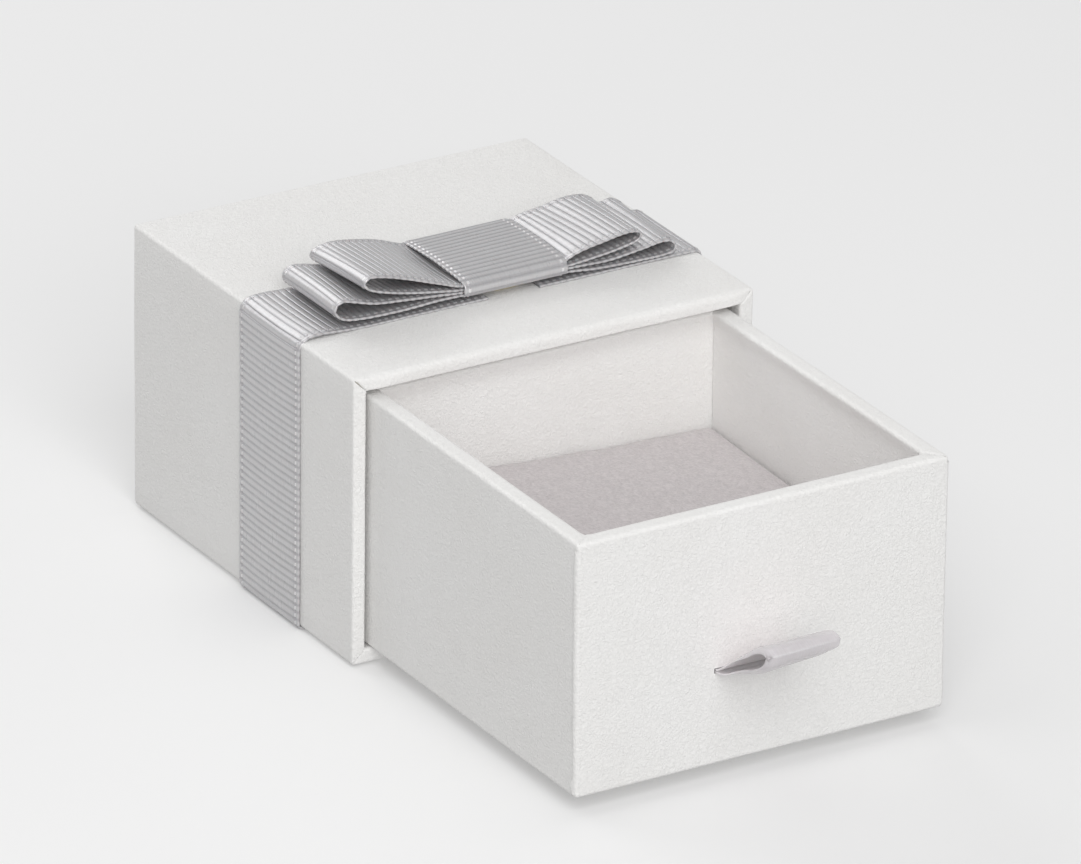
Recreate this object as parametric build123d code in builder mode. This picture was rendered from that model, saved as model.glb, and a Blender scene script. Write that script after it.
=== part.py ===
from build123d import *
import os

# A slide-open gift box for a ring or other small jewellery. An open-fronted sleeve of wrapped
# greyboard carries a ribbon band and a flat two-tier bow. An open-topped drawer with a velvet
# pad slides out of its front, pulled by a satin ribbon loop.
#
# Millimetres, +Z up, the box's front faces -Y and the drawer opens towards -Y. The origin is
# the middle of the ribbon band's underside, which is what the box stands on.

os.makedirs("parts", exist_ok=True)

# ---- driving dimensions -----------------------------------------------------------------

sleeve_width = 58.0
sleeve_depth = 56.0
sleeve_height = 39.0
board = 1.5                  # greyboard thickness, sleeve and drawer alike
paper = 0.15                 # covering and lining paper
edge_round = 0.5             # outside radius of every wrapped edge

side_play = 0.7              # drawer to sleeve, on each side
floor_play = 0.2             # drawer to the sleeve's floor
top_play = 1.1               # drawer to the sleeve's ceiling
end_play = 0.2               # drawer to the sleeve's back, when it is shut
drawer_open = 49.7           # how far the drawer stands out at rest

grosgrain = 0.4              # ribbon of the band and the bow: thickness
grosgrain_width = 15.0
band_setback = 20.5          # sleeve's front to the middle of the band
band_gap = 7.4               # between the band's two ends, hidden under the knot
knot_x = 1.8                 # the bow is tied a little to the right of the middle
glue_height = 0.9            # hot-melt dab between the sleeve and the knot
layer_gap = 0.08             # between ribbon layers pressed together under the knot

satin = 0.25                 # ribbon of the pull loop: thickness
satin_width = 10.3
pull_x = -1.65               # middle of the pull, a little to the left
slit_rise = 12.7             # drawer's underside to the middle of the slit
slit_play = 0.1              # slit to ribbon, all round
tail_drop = 8.0              # how far the glued tails hang down inside
patch_margin = 2.5           # patch beyond the tails, on each side

pad_rise = 18.0              # drawer's underside to the top of the pad
pad_play = 0.1               # pad to the drawer's walls
velvet = 0.6                 # velvet with its pile
turn_in = 12.0               # covering paper turned over the sleeve's lip, to the inside

# ---- worked-out places ------------------------------------------------------------------

wall = paper + board + paper
board_round = edge_round - paper

sleeve_left = -sleeve_width / 2
sleeve_right = sleeve_width / 2
sleeve_front = -band_setback
sleeve_back = sleeve_front + sleeve_depth
sleeve_floor = grosgrain
sleeve_top = sleeve_floor + sleeve_height
sleeve_middle_z = (sleeve_floor + sleeve_top) / 2

drawer_right = sleeve_width / 2 - wall - side_play
drawer_left = -drawer_right
drawer_front = sleeve_front - drawer_open
drawer_back = drawer_front + sleeve_depth - wall - end_play
drawer_floor = sleeve_floor + wall + floor_play
drawer_top = sleeve_top - wall - top_play

slit_z = drawer_floor + slit_rise
pull_left = pull_x - satin_width / 2
tail_depth = 2 * satin + paper + pad_play
pad_top = drawer_floor + pad_rise


# ---- helpers ----------------------------------------------------------------------------

def block(low, high, mode=Mode.ADD):
    """Adds to the part in work, or cuts from it, a box between two opposite corners."""
    size = [b - a for a, b in zip(low, high)]
    middle = tuple((a + b) / 2 for a, b in zip(low, high))
    with Locations(middle):
        Box(*size, mode=mode)


def save(piece, name):
    """Labels a finished piece and writes it to its own file."""
    piece.part.label = name
    export_step(piece.part, f"parts/{name}.step")


def save_panels(core, panels):
    """Cuts a board shell into its flat panels, each a separate piece of greyboard."""
    for name, (low, high) in panels.items():
        with BuildPart() as panel:
            add(core.part)
            block(low, high, mode=Mode.INTERSECT)
        save(panel, name)


# ---- sleeve boards: a tube of four panels, closed by a back panel -----------------------

core_low = (sleeve_left + paper, sleeve_front + paper, sleeve_floor + paper)
core_high = (sleeve_right - paper, sleeve_back - paper, sleeve_top - paper)
hollow_low = (core_low[0] + board, core_low[1], core_low[2] + board)
hollow_high = (core_high[0] - board, core_high[1] - board, core_high[2] - board)

with BuildPart() as sleeve_core:
    block(core_low, core_high)
    fillet(sleeve_core.edges(), board_round)
    block(hollow_low, hollow_high, mode=Mode.SUBTRACT)
    mouth = sleeve_core.faces().filter_by(Axis.Y).sort_by(Axis.Y)[0]
    fillet(mouth.inner_wires()[0].edges(), board_round)

save_panels(sleeve_core, {
    "sleeve_top_board": ((core_low[0], core_low[1], hollow_high[2]), core_high),
    "sleeve_bottom_board": (core_low, (core_high[0], core_high[1], hollow_low[2])),
    "sleeve_left_board": (
        (core_low[0], core_low[1], hollow_low[2]),
        (hollow_low[0], core_high[1], hollow_high[2]),
    ),
    "sleeve_right_board": (
        (hollow_high[0], core_low[1], hollow_low[2]),
        (core_high[0], core_high[1], hollow_high[2]),
    ),
    "sleeve_back_board": (
        (hollow_low[0], hollow_high[1], hollow_low[2]),
        (hollow_high[0], core_high[1], hollow_high[2]),
    ),
})

# ---- sleeve papers: a covering folded in over the lip, and a lining behind it -----------

clear_low = (sleeve_left + wall, sleeve_front, sleeve_floor + wall)
clear_high = (sleeve_right - wall, sleeve_back - wall, sleeve_top - wall)
lining_low = (hollow_low[0], sleeve_front + turn_in, hollow_low[2])

with BuildPart() as sleeve_wrap_paper:
    block(
        (sleeve_left, sleeve_front, sleeve_floor),
        (sleeve_right, sleeve_back, sleeve_top),
    )
    fillet(sleeve_wrap_paper.edges(), edge_round)
    block(clear_low, clear_high, mode=Mode.SUBTRACT)
    mouth = sleeve_wrap_paper.faces().filter_by(Axis.Y).sort_by(Axis.Y)[0]
    fillet(mouth.inner_wires()[0].edges(), edge_round)
    add(sleeve_core.part, mode=Mode.SUBTRACT)
    block(lining_low, hollow_high, mode=Mode.SUBTRACT)
save(sleeve_wrap_paper, "sleeve_wrap_paper")

with BuildPart() as sleeve_lining_paper:
    block(lining_low, hollow_high)
    block(clear_low, clear_high, mode=Mode.SUBTRACT)
save(sleeve_lining_paper, "sleeve_lining_paper")

# ---- ribbon band round the sleeve, open under the knot ----------------------------------

with BuildPart() as ribbon_band:
    with BuildSketch(Plane.XZ):
        with Locations((0, sleeve_middle_z)):
            RectangleRounded(
                sleeve_width + 2 * grosgrain,
                sleeve_height + 2 * grosgrain,
                edge_round + grosgrain,
            )
            RectangleRounded(sleeve_width, sleeve_height, edge_round, mode=Mode.SUBTRACT)
        with Locations((knot_x, sleeve_top)):
            Rectangle(band_gap, 3 * grosgrain, mode=Mode.SUBTRACT)
    extrude(amount=grosgrain_width / 2, both=True)
save(ribbon_band, "ribbon_band")

# ---- bow: two closed strips of ribbon, stacked and tied by a knot band ------------------

knot_left = knot_x - grosgrain_width / 2
knot_right = knot_x + grosgrain_width / 2
strip_height = 2 * grosgrain + layer_gap
lower_neck = sleeve_top + glue_height + grosgrain
upper_neck = lower_neck + strip_height + layer_gap
knot_height = upper_neck + strip_height + layer_gap + grosgrain - sleeve_top - glue_height


def bend(start, end, outward):
    """An S of two equal arcs between two points, level at both of them."""
    middle = ((start[0] + end[0]) / 2, (start[1] + end[1]) / 2)
    TangentArc(start, middle, tangent=(outward, 0))
    TangentArc(end, middle, tangent=(-outward, 0))


def loop(neck_x, neck_z, tip_x, low, high):
    """Outline of one side of a strip: out along the bottom, round the fold, back on top.

    neck_z is the strip's underside at the knot, tip_x the outermost point of the fold, and
    low and high are the fold's lowest and highest faces above the sleeve.
    """
    outward = 1 if tip_x > neck_x else -1
    radius = (high - low) / 2
    fold_x = tip_x - outward * radius
    fold_low = (fold_x, sleeve_top + low)
    fold_high = (fold_x, sleeve_top + high)
    bend((neck_x, neck_z), fold_low, outward)
    ThreePointArc(fold_low, (tip_x, sleeve_top + low + radius), fold_high)
    bend(fold_high, (neck_x, neck_z + strip_height), -outward)


def strip(neck_z, left, right):
    """One closed strip of ribbon, pressed flat under the knot, with a loop on each side."""
    with BuildPart() as piece:
        with BuildSketch(Plane.XZ):
            with BuildLine():
                loop(knot_left, neck_z, *left)
                Line((knot_left, neck_z + strip_height), (knot_right, neck_z + strip_height))
                loop(knot_right, neck_z, *right)
                Line((knot_right, neck_z), (knot_left, neck_z))
            make_face()
            offset(amount=-grosgrain, mode=Mode.SUBTRACT)
        extrude(amount=grosgrain_width / 2, both=True)
    return piece


# each loop: outermost x of its fold, then its lowest and highest faces above the sleeve
bow_lower_loops = strip(lower_neck, left=(-24.0, 1.0, 4.0), right=(25.8, 0.5, 2.9))
save(bow_lower_loops, "bow_lower_loops")

bow_upper_loops = strip(upper_neck, left=(-19.9, 4.3, 6.9), right=(20.6, 3.2, 5.0))
save(bow_upper_loops, "bow_upper_loops")

with BuildPart() as bow_knot_band:
    with BuildSketch(Plane.YZ.offset(knot_left)):
        with Locations((0, sleeve_top + glue_height + knot_height / 2)):
            RectangleRounded(grosgrain_width + 2 * grosgrain, knot_height, 2 * grosgrain)
            Rectangle(grosgrain_width, knot_height - 2 * grosgrain, mode=Mode.SUBTRACT)
    extrude(amount=grosgrain_width)
save(bow_knot_band, "bow_knot_band")

with BuildPart() as bow_glue_pad:
    with BuildSketch(Plane.XY.offset(sleeve_top)):
        with Locations((knot_x, 0)):
            RectangleRounded(band_gap - 1.0, grosgrain_width - 4.0, 2.5)
    extrude(amount=glue_height)
save(bow_glue_pad, "bow_glue_pad")

# ---- drawer boards: an open tray of five panels, slit through its front -----------------

tray_low = (drawer_left + paper, drawer_front + paper, drawer_floor + paper)
tray_high = (drawer_right - paper, drawer_back - paper, drawer_top - paper)
well_low = (tray_low[0] + board, tray_low[1] + board, tray_low[2] + board)
well_high = (tray_high[0] - board, tray_high[1] - board, tray_high[2])
inside_low = (drawer_left + wall, drawer_front + wall, well_low[2])
inside_high = (drawer_right - wall, drawer_back - wall, drawer_top)

slit_low = (pull_left - slit_play, drawer_front, slit_z - satin - slit_play)
slit_high = (pull_left + satin_width + slit_play, inside_low[1], slit_z + satin + slit_play)

with BuildPart() as tray_core:
    block(tray_low, tray_high)
    fillet(tray_core.edges(), board_round)
    block(well_low, well_high, mode=Mode.SUBTRACT)
    rim = tray_core.faces().filter_by(Axis.Z).sort_by(Axis.Z)[-1]
    fillet(rim.inner_wires()[0].edges(), board_round)
    block(slit_low, slit_high, mode=Mode.SUBTRACT)

save_panels(tray_core, {
    "drawer_bottom_board": (tray_low, (tray_high[0], tray_high[1], well_low[2])),
    "drawer_front_board": (
        (tray_low[0], tray_low[1], well_low[2]),
        (tray_high[0], well_low[1], tray_high[2]),
    ),
    "drawer_back_board": (
        (tray_low[0], well_high[1], well_low[2]),
        (tray_high[0], tray_high[1], tray_high[2]),
    ),
    "drawer_left_board": (
        (tray_low[0], well_low[1], well_low[2]),
        (well_low[0], well_high[1], tray_high[2]),
    ),
    "drawer_right_board": (
        (well_high[0], well_low[1], well_low[2]),
        (tray_high[0], well_high[1], tray_high[2]),
    ),
})

# ---- drawer papers: a covering turned over the rim and down inside, and a floor sheet ---

with BuildPart() as drawer_wrap_paper:
    block(
        (drawer_left, drawer_front, drawer_floor),
        (drawer_right, drawer_back, drawer_top),
    )
    fillet(drawer_wrap_paper.edges(), edge_round)
    block(inside_low, inside_high, mode=Mode.SUBTRACT)
    rim = drawer_wrap_paper.faces().filter_by(Axis.Z).sort_by(Axis.Z)[-1]
    fillet(rim.inner_wires()[0].edges(), edge_round)
    add(tray_core.part, mode=Mode.SUBTRACT)
    block(slit_low, slit_high, mode=Mode.SUBTRACT)
save(drawer_wrap_paper, "drawer_wrap_paper")

floor_sheet_top = inside_low[2] + paper

with BuildPart() as drawer_floor_paper:
    block(inside_low, (inside_high[0], inside_high[1], floor_sheet_top))
save(drawer_floor_paper, "drawer_floor_paper")

# ---- pad: a foam block under a velvet cover ---------------------------------------------

pad_low = (inside_low[0] + pad_play, inside_low[1] + tail_depth, floor_sheet_top)
pad_high = (inside_high[0] - pad_play, inside_high[1] - pad_play, pad_top)
foam_low = (pad_low[0] + velvet, pad_low[1] + velvet, floor_sheet_top)
foam_high = (pad_high[0] - velvet, pad_high[1] - velvet, pad_top - velvet)

with BuildPart() as pad_foam:
    block(foam_low, foam_high)
    foam_edges = pad_foam.faces().sort_by(Axis.Z)[-1].edges()
    fillet(foam_edges, velvet)
save(pad_foam, "pad_foam")

with BuildPart() as pad_velvet_cover:
    block(pad_low, pad_high)
    cover_edges = pad_velvet_cover.faces().sort_by(Axis.Z)[-1].edges()
    fillet(cover_edges, 2 * velvet)
    add(pad_foam.part, mode=Mode.SUBTRACT)
save(pad_velvet_cover, "pad_velvet_cover")

# ---- pull ribbon: a folded loop outside, and two tails glued down inside ----------------

# the loop's section, as distances out from the drawer's front and up from the slit
loop_root = 0.35             # the loop starts this far out, so that it can swing at the slit
crease = (12.3, 6.4)         # outermost point of the fold
over_middle = (6.1, 4.7)     # on the upper strand
under_middle = (6.6, 2.0)    # on the lower strand
brow = (11.0, 7.3)           # where the upper strand turns into the fold
chin = (10.6, 4.5)           # where the lower strand turns into the fold


def pull_point(out, up):
    """A point of the loop's section, as Y and Z."""
    return (drawer_front - out, slit_z + up)


with BuildPart() as pull_ribbon_loop:
    with BuildSketch(Plane.YZ.offset(pull_left)):
        with BuildLine():
            over = ThreePointArc(
                pull_point(loop_root, satin),
                pull_point(*over_middle),
                pull_point(*brow),
            )
            fold = ThreePointArc(over @ 1, pull_point(*crease), pull_point(*chin))
            under = ThreePointArc(
                fold @ 1,
                pull_point(*under_middle),
                pull_point(loop_root, -satin),
            )
            Line(under @ 1, over @ 0)
        make_face()
        offset(amount=-satin, mode=Mode.SUBTRACT)
    extrude(amount=satin_width)
save(pull_ribbon_loop, "pull_ribbon_loop")

with BuildPart() as pull_ribbon_tails:
    block(
        (pull_left, drawer_front, slit_z - satin),
        (pull_left + satin_width, inside_low[1] + 2 * satin, slit_z + satin),
    )
    block(
        (pull_left, inside_low[1], slit_z - tail_drop),
        (pull_left + satin_width, inside_low[1] + 2 * satin, slit_z - satin),
    )
save(pull_ribbon_tails, "pull_ribbon_tails")

with BuildPart() as pull_ribbon_patch:
    block(
        (pull_left - patch_margin, inside_low[1] + 2 * satin, slit_z - tail_drop),
        (
            pull_left + satin_width + patch_margin,
            inside_low[1] + 2 * satin + paper,
            slit_z - 2 * satin,
        ),
    )
save(pull_ribbon_patch, "pull_ribbon_patch")
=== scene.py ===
import math

import bpy
import numpy as np
from mathutils import Matrix, Vector, noise


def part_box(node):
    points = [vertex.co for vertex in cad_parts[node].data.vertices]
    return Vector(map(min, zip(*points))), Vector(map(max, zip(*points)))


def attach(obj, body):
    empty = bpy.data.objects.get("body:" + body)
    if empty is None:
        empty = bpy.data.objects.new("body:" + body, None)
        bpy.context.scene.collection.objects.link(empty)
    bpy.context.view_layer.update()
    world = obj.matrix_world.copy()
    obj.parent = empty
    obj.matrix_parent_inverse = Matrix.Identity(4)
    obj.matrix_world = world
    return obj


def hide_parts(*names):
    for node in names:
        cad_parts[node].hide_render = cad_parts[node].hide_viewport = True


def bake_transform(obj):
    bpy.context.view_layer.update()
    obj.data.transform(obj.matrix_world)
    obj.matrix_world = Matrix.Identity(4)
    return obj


# The looks of a slide-open gift box: grained paper over board, a grosgrain ribbon band with a
# two-tier bow, a satin pull and a velvet ring pad. Lengths are in millimetres until a mesh is
# made; the frame is the CAD's: +Z up, the drawer opens towards -Y.

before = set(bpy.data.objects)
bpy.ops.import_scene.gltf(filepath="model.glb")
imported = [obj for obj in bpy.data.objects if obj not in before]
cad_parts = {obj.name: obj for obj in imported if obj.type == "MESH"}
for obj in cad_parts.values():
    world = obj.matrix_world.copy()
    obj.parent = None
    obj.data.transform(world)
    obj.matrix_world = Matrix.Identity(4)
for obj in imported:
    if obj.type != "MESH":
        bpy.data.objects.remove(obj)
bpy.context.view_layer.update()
MM = 0.001


def box_mm(node):
    """Lowest and highest corners of a CAD node, in millimetres."""
    low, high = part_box(node)
    return np.array(low) / MM, np.array(high) / MM


# ---- meshes -----------------------------------------------------------------------------


def add_mesh(name, points, faces, uv=None):
    """A smooth-shaded mesh object from points in millimetres."""
    mesh = bpy.data.meshes.new(name)
    mesh.from_pydata((np.asarray(points, float) * MM).tolist(), [], faces)
    mesh.polygons.foreach_set("use_smooth", [True] * len(mesh.polygons))
    if uv is not None:
        layer = mesh.uv_layers.new(name="ribbon")
        corner_vertex = np.zeros(len(mesh.loops), np.int32)
        mesh.loops.foreach_get("vertex_index", corner_vertex)
        layer.data.foreach_set("uv", np.asarray(uv, np.float32)[corner_vertex].ravel())
    mesh.update()
    made = bpy.data.objects.new(name, mesh)
    bpy.context.scene.collection.objects.link(made)
    return made


def grid_faces(rows, columns, wrap=False):
    """Quads joining a grid of points kept row by row; wrap joins the last column to the first."""
    faces = []
    for i in range(rows - 1):
        for j in range(columns if wrap else columns - 1):
            a = i * columns + j
            b = i * columns + (j + 1) % columns
            faces.append((a, b, b + columns, a + columns))
    return faces


def unit(vectors):
    """A grid of vectors, each brought to length 1."""
    return vectors / (np.linalg.norm(vectors, axis=2, keepdims=True) + 1e-12)


def surface_normals(base):
    """The normal at each point of a grid of points."""
    return unit(np.cross(np.gradient(base, axis=0), np.gradient(base, axis=1)))


def thick_strip(name, base, out, along, across):
    """A closed strip of ribbon round its middle surface.

    base is a grid of points on that surface, and out leads from each one to the ribbon's upper
    face; the lower face is as far the other way. along and across are the places of the grid's
    rows and columns on the UV map.
    """
    section = np.concatenate([base + out, (base - out)[:, ::-1]], axis=1)
    rows, around = section.shape[:2]
    last = (rows - 1) * around
    faces = grid_faces(rows, around, wrap=True)
    faces.append(tuple(range(around)))
    faces.append(tuple(last + k for k in reversed(range(around))))
    uv = np.zeros((rows, around, 2))
    uv[:, :, 0] = along[:, None]
    uv[:, :, 1] = np.concatenate([across, across[::-1]])
    return add_mesh(name, section.reshape(-1, 3), faces, uv.reshape(-1, 2))


def smooth_curve(controls, steps=24):
    """A dense run of points through the control points, with no overshoot at uneven spacing."""
    p = np.asarray(controls, float)
    p = np.vstack([2 * p[0] - p[1], p, 2 * p[-1] - p[-2]])
    knots = np.concatenate([[0], np.cumsum(np.linalg.norm(np.diff(p, axis=0), axis=1) ** 0.5)])
    run = []
    for i in range(1, len(p) - 2):
        t0, t1, t2, t3 = knots[i - 1:i + 3]
        t = np.linspace(t1, t2, steps, endpoint=False)[:, None]
        a1 = (t1 - t) / (t1 - t0) * p[i - 1] + (t - t0) / (t1 - t0) * p[i]
        a2 = (t2 - t) / (t2 - t1) * p[i] + (t - t1) / (t2 - t1) * p[i + 1]
        a3 = (t3 - t) / (t3 - t2) * p[i + 1] + (t - t2) / (t3 - t2) * p[i + 2]
        b1 = (t2 - t) / (t2 - t0) * a1 + (t - t0) / (t2 - t0) * a2
        b2 = (t3 - t) / (t3 - t1) * a2 + (t - t1) / (t3 - t1) * a3
        run.append((t2 - t) / (t2 - t1) * b1 + (t - t1) / (t2 - t1) * b2)
    return np.vstack(run + [p[-2][None]])


def wobble(point, size, seed):
    """A smooth random push, about 1 at most, that changes over `size` millimetres."""
    return noise.noise(Vector(point) / size + Vector((seed, 2.7 * seed, -1.3 * seed)))


# ---- materials --------------------------------------------------------------------------


class Surface:
    """A node material with one Principled shader, and short ways to add nodes to it."""

    def __init__(self, name, **sockets):
        self.material = bpy.data.materials.new(name)
        self.material.use_nodes = True
        self.tree = self.material.node_tree
        self.shader = next(n for n in self.tree.nodes if n.type == "BSDF_PRINCIPLED")
        for socket, value in sockets.items():
            self.shader.inputs[socket.replace("_", " ")].default_value = value

    def node(self, kind, settings=None, **inputs):
        made = self.tree.nodes.new(kind)
        for key, value in (settings or {}).items():
            setattr(made, key, value)
        for key, value in inputs.items():
            self.put(made.inputs[key.replace("_", " ")], value)
        return made

    def put(self, socket, value):
        """Joins a socket to another node's output, or sets its value."""
        if isinstance(value, bpy.types.NodeSocket):
            self.tree.links.new(value, socket)
        else:
            socket.default_value = value

    def place(self, stretch=(1, 1, 1), uv=False):
        """Coordinates on the piece in millimetres, stretched by three factors."""
        source = self.node("ShaderNodeTexCoord").outputs["UV" if uv else "Object"]
        size = 1.0 if uv else 1.0 / MM
        scale = tuple(size * s for s in stretch)
        return self.node("ShaderNodeMapping", Vector=source, Scale=scale).outputs["Vector"]

    def math(self, operation, a, b=0.0):
        made = self.node("ShaderNodeMath", {"operation": operation})
        self.put(made.inputs[0], a)
        self.put(made.inputs[1], b)
        return made.outputs[0]

    def noise(self, place, scale, detail=2.0, roughness=0.5, distortion=0.0):
        made = self.node("ShaderNodeTexNoise", Vector=place, Scale=scale, Detail=detail,
                         Roughness=roughness, Distortion=distortion)
        return made.outputs[0]

    def ramp(self, value, stops):
        """Maps a value to a colour; stops are (position, colour)."""
        made = self.node("ShaderNodeValToRGB", Fac=value)
        elements = made.color_ramp.elements
        while len(elements) < len(stops):
            elements.new(0.5)
        for element, (position, colour) in zip(elements, stops):
            element.position = position
            element.color = (*colour, 1)
        return made.outputs["Color"]

    def span(self, value, low, high):
        """Maps 0..1 to low..high."""
        made = self.node("ShaderNodeMapRange", Value=value, To_Min=low, To_Max=high)
        return made.outputs["Result"]

    def multiply(self, a, b):
        """One colour times another."""
        made = self.node("ShaderNodeVectorMath", {"operation": "MULTIPLY"}, Vector=a)
        self.put(made.inputs[1], b)
        return made.outputs["Vector"]

    def mix(self, share, a, b):
        """Colour a where share is 0 and colour b where it is 1."""
        made = self.node("ShaderNodeMix", {"data_type": "RGBA"}, Factor=share)
        colours = [socket for socket in made.inputs if socket.type == "RGBA"]
        self.put(colours[0], a)
        self.put(colours[1], b)
        return next(socket for socket in made.outputs if socket.type == "RGBA")

    def bump(self, height, depth, strength=1.0, below=None):
        """Turns a 0..1 height into a normal, for a relief `depth` millimetres deep."""
        made = self.node("ShaderNodeBump", Height=height, Distance=depth * MM, Strength=strength)
        if below is not None:
            self.put(made.inputs["Normal"], below)
        return made.outputs["Normal"]

    def finish(self, **outputs):
        for socket, value in outputs.items():
            self.put(self.shader.inputs[socket.replace("_", " ")], value)
        return self.material


def grained_paper():
    """White covering paper, embossed with a fine leather grain, a little soiled, and with painted shade
    in the grain's valleys.
    """
    s = Surface("grained_paper", Roughness=0.5, Specular_IOR_Level=0.35)
    place = s.place()
    lines = s.noise(place, 2.0, 1.5, 0.55, 0.9)
    from_middle = s.math("ABSOLUTE", s.math("SUBTRACT", s.math("MULTIPLY", lines, 2.0), 1.0))
    creases = s.math("POWER", from_middle, 0.5)
    cells = s.node("ShaderNodeTexVoronoi", {"feature": "SMOOTH_F1"}, Vector=place, Scale=2.7,
                   Smoothness=0.3, Randomness=1.0)
    pebbles = s.math("SUBTRACT", 1.0, cells.outputs["Distance"])
    grain = s.math("ADD", s.math("MULTIPLY", pebbles, 0.45), s.math("MULTIPLY", creases, 0.55))
    uneven_board = s.bump(s.noise(place, 0.16, 2.0), 0.06, 0.5)
    normal = s.bump(grain, 0.115, 1.0, below=uneven_board)
    soiled, clean = (0.95, 0.94, 0.925), (0.975, 0.97, 0.96)
    tint = s.ramp(s.noise(place, 0.06, 4.0, 0.6), [(0.3, soiled), (0.7, clean)])
    # painted shade: the grain's valleys a little darker than its tops
    valley_shade = s.ramp(grain, [(0.42, (0.980, 0.979, 0.977)), (0.75, (1.0, 1.0, 1.0))])
    roughness = s.span(grain, 0.58, 0.44)
    return s.finish(Base_Color=s.multiply(tint, valley_shade), Normal=normal, Roughness=roughness)


def plain_paper(name, dark, light, fibre):
    """Uncoated paper or board, with its fibres."""
    s = Surface(name, Roughness=0.85)
    place = s.place()
    fibres = s.noise(s.place((1.0, 3.0, 1.6)), fibre, 5.0, 0.7)
    tint = s.ramp(fibres, [(0.3, dark), (0.7, light)])
    return s.finish(Base_Color=tint, Normal=s.bump(s.noise(place, 4.0, 4.0), 0.04, 0.6))


STITCH_ROW = 6.75            # from a ribbon's middle out to the row of stitches by its edge
STITCH_HALF = 0.17           # half the row's width


def grosgrain():
    """Silver-grey filament yarn with a sheen. The ribs are in the mesh, the threads are here, with
    painted light and shade across each rib and on the row of stitches by each edge.

    On a ribbon's UV map, X counts ribs along it and Y is the distance from its middle.
    """
    s = Surface("grosgrain", Roughness=0.27, Metallic=0.42, Specular_IOR_Level=0.6, Subsurface_Weight=0.2)
    s.shader.inputs["Subsurface Radius"].default_value = (1.0, 0.75, 0.7)
    s.shader.inputs["Subsurface Scale"].default_value = 0.6 * MM
    threads = s.noise(s.place((0.35, 7.0, 1.0), uv=True), 1.0, 3.0, 0.6)
    yarn = s.noise(s.place((2.2, 0.5, 1.0), uv=True), 1.0, 2.0)
    tint = s.ramp(threads, [(0.3, (0.57, 0.56, 0.57)), (0.7, (0.67, 0.665, 0.675))])
    apart = s.node("ShaderNodeSeparateXYZ", Vector=s.place(uv=True))
    from_ridge = s.math("ABSOLUTE", s.math("SUBTRACT", s.math("FRACT", apart.outputs["X"]), 0.5))
    # painted light and shade across each rib: the ridge a little lighter, the groove darker
    ribs = s.ramp(from_ridge, [(0.18, (1.03, 1.03, 1.03)), (0.45, (0.78, 0.78, 0.79))])
    # the row of stitches by each edge: dots lighter on the ridges, partly painted highlight, and painted
    # shade in the grooves between them
    in_groove = s.math("GREATER_THAN", from_ridge, 0.24)
    stitch_highlights_and_shade = s.ramp(in_groove, [(0.0, (1.42, 1.41, 1.40)), (1.0, (0.84, 0.83, 0.85))])
    from_row = s.math("ABSOLUTE", s.math("SUBTRACT", s.math("ABSOLUTE", apart.outputs["Y"]), STITCH_ROW))
    on_row = s.math("LESS_THAN", from_row, STITCH_HALF)
    tint = s.multiply(tint, s.mix(on_row, ribs, stitch_highlights_and_shade))
    normal = s.bump(threads, 0.03, 0.5, below=s.bump(yarn, 0.05, 0.3))
    return s.finish(Base_Color=tint, Normal=normal, Roughness=s.span(threads, 0.34, 0.24))


def satin():
    """Pale mauve-grey satin ribbon, with its long shiny floats."""
    s = Surface("satin", Roughness=0.27, Specular_IOR_Level=1.0, Subsurface_Weight=0.6)
    s.shader.inputs["Subsurface Radius"].default_value = (1.0, 0.97, 0.96)
    s.shader.inputs["Subsurface Scale"].default_value = 2.2 * MM
    floats = s.noise(s.place((0.6, 9.0, 1.0), uv=True), 1.0, 3.0, 0.6)
    tint = s.ramp(floats, [(0.3, (0.82, 0.76, 0.79)), (0.7, (0.90, 0.84, 0.87))])
    return s.finish(Base_Color=tint, Normal=s.bump(floats, 0.02, 0.6))


def velvet():
    """Mauve-grey velvet: short pile, brushed this way and that."""
    s = Surface("velvet", Roughness=0.9, Specular_IOR_Level=0.1, Sheen_Weight=0.35, Sheen_Roughness=0.4)
    place = s.place()
    brushed = s.noise(s.place((1.0, 0.6, 1.0)), 1.3, 4.0, 0.7, 0.6)
    pile = s.noise(place, 2.4, 3.0, 0.75)
    both = s.math("ADD", s.math("MULTIPLY", brushed, 0.4), s.math("MULTIPLY", pile, 0.6))
    tint = s.ramp(both, [(0.36, (0.59, 0.55, 0.555)), (0.64, (0.77, 0.723, 0.728))])
    return s.finish(Base_Color=tint, Normal=s.bump(both, 0.35, 0.8))


def hot_melt():
    """Clear amber glue from a gun, set in ripples."""
    s = Surface("hot_melt", Roughness=0.25, Base_Color=(0.80, 0.72, 0.52, 1))
    s.shader.inputs["Transmission Weight"].default_value = 0.3
    return s.finish(Normal=s.bump(s.noise(s.place(), 0.9, 2.0), 0.2, 0.7))


FINISHES = {
    "grained_paper": grained_paper(),
    "lining_paper": plain_paper("lining_paper", (0.74, 0.73, 0.70), (0.82, 0.81, 0.79), 0.8),
    "greyboard": plain_paper("greyboard", (0.30, 0.28, 0.25), (0.42, 0.40, 0.36), 0.6),
    "grosgrain": grosgrain(),
    "satin": satin(),
    "velvet": velvet(),
    "hot_melt": hot_melt(),
}


def dress(piece, finish):
    """Gives a piece, made here or carried over from CAD, one of the finishes."""
    piece.data.materials.clear()
    piece.data.materials.append(FINISHES[finish])


# ---- paper skins over the boards --------------------------------------------------------

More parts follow.
